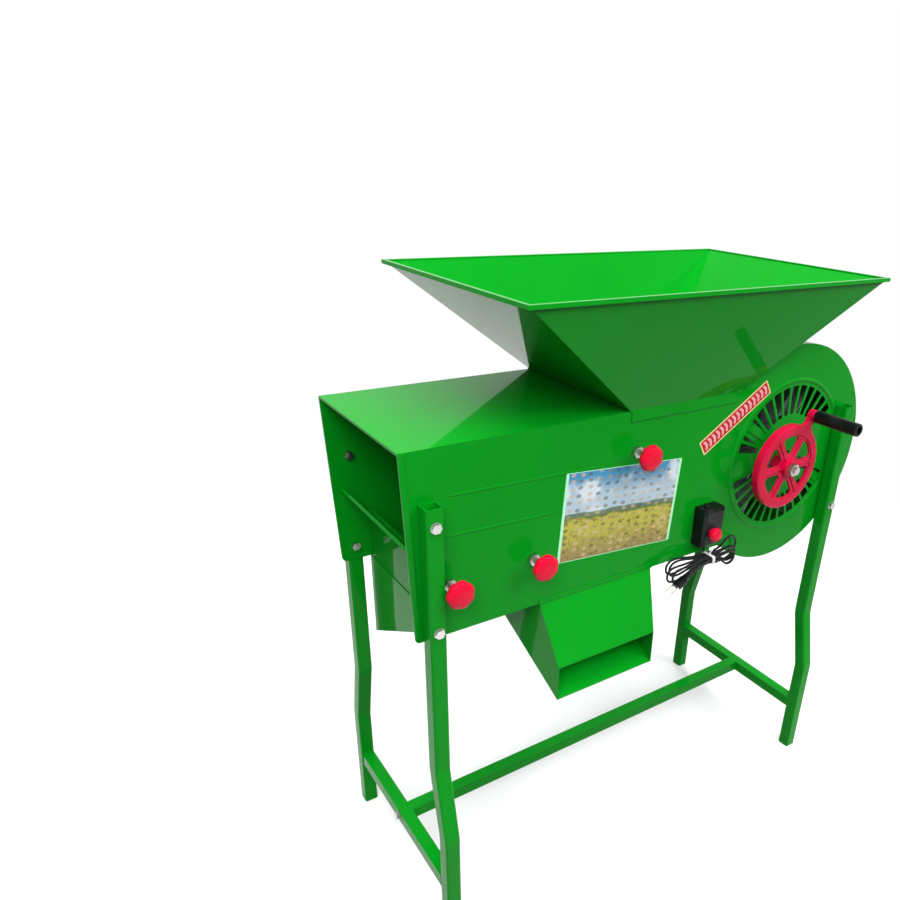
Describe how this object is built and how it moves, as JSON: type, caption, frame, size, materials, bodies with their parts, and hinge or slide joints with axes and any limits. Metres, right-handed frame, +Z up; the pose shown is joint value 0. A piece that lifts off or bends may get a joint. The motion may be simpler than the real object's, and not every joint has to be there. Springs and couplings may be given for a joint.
{
  "type": "fanning mill",
  "caption": "Sheet-steel fanning mill on bent tube legs, with a wide hopper, a crank-driven fan, boards that steer the grain and chutes for heavy and light grain.",
  "frame": {"origin": "on the floor under the middle of the machine", "axes": "+X from the open chaff end to the fan, +Y to the back, away from the crank side, +Z up"},
  "size_m": [0.96, 0.5732, 1.035],
  "materials": {
    "green_paint": "very glossy green paint",
    "inner_paint": "glossy green paint, inside",
    "red_wheel_paint": "glossy red paint on cast iron",
    "red_knob": "glossy moulded red plastic",
    "black_plastic": "satin moulded black plastic",
    "cord_jacket": "satin black flexible sheath",
    "zinc": "bright zinc plate",
    "steel": "bare turned steel",
    "galvanised": "galvanised sheet",
    "cast_housing": "dark cast iron",
    "motor_paint": "dark grey enamel",
    "tie_wire": "white plastic-covered wire",
    "brass_pin": "nickel-plated brass"
  },
  "bodies": {
    "root": {"axle_nut": "zinc", "axle_plate": "green_paint", "back_bearing": "cast_housing", "back_bearing_bar": "green_paint", "back_left_leg": "green_paint", "back_right_leg": "green_paint", "back_side_sheet": "green_paint", "bearing_bolts": "zinc", "controller_box": "black_plastic", "cord_gland": "black_plastic", "cord_hank": "cord_jacket", "cord_lead": "cord_jacket", "cord_tie": "tie_wire", "divider_post": "inner_paint", "fan_wrap": "green_paint", "feed_slide": "inner_paint", "frame_bolts": "zinc", "frame_nuts": "zinc", "front_bearing": "cast_housing", "front_bearing_bar": "green_paint", "front_chute": "green_paint", "front_left_leg": "green_paint", "front_right_leg": "green_paint", "front_side_sheet": "green_paint", "hopper": "green_paint", "left_crossbar": "green_paint", "motor": "motor_paint", "motor_bracket": "green_paint", "plug_pins": "brass_pin", "power_plug": "black_plastic", "rear_chute": "green_paint", "right_crossbar": "green_paint", "seam_tab": "green_paint", "stretcher": "green_paint", "tail_post": "inner_paint", "throat_floor": "inner_paint", "throat_plate": "inner_paint", "top_cover": "green_paint", "wheel_axle": "steel"},
    "feed_gate": {"feed_gate_flap": "inner_paint", "feed_gate_shaft": "zinc", "feed_gate_knob": "red_knob", "feed_gate_nuts": "zinc"},
    "divider": {"divider_flap": "inner_paint", "divider_shaft": "zinc", "divider_knob": "red_knob", "divider_nuts": "zinc"},
    "tail_board": {"tail_board_flap": "inner_paint", "tail_board_shaft": "zinc", "tail_board_knob": "red_knob", "tail_board_nuts": "zinc"},
    "fan": {"fan_shaft": "steel", "fan_spiders": "galvanised", "fan_blades": "galvanised", "drive_pinion": "steel"},
    "crank": {"crank_wheel": "red_wheel_paint", "crank_pin": "steel"},
    "handle": {"grip": "black_plastic"},
    "dial": {"speed_knob": "red_knob"}
  },
  "joints": [
    {"name": "feed_gate_turn", "type": "hinge", "parent": "root", "child": "feed_gate", "pos_m": [-0.089, 0, 0.788], "axis": [0, 1, 0], "range_deg": [0, 60]},
    {"name": "divider_turn", "type": "hinge", "parent": "root", "child": "divider", "pos_m": [-0.275, 0, 0.652], "axis": [0, 1, 0], "range_deg": [-45, 45]},
    {"name": "tail_board_turn", "type": "hinge", "parent": "root", "child": "tail_board", "pos_m": [-0.414, 0, 0.65], "axis": [0, 1, 0], "range_deg": [-15, 60]},
    {"name": "fan_turn", "type": "hinge", "parent": "root", "child": "fan", "pos_m": [0.275, 0, 0.715], "axis": [0, 1, 0], "continuous": true},
    {"name": "crank_turn", "type": "hinge", "parent": "root", "child": "crank", "pos_m": [0.21541, 0, 0.722], "axis": [0, 1, 0], "continuous": true},
    {"name": "grip_spin", "type": "hinge", "parent": "crank", "child": "handle", "pos_m": [0.26189, 0, 0.80941], "axis": [0, 1, 0], "continuous": true},
    {"name": "speed_knob_turn", "type": "hinge", "parent": "root", "child": "dial", "pos_m": [0.076, 0, 0.618], "axis": [0, 1, 0], "range_deg": [0, 270]}
  ],
  "couplings": [
    {"joint": "crank_turn", "follows": "fan_turn", "ratio": 0.13043}
  ]
}
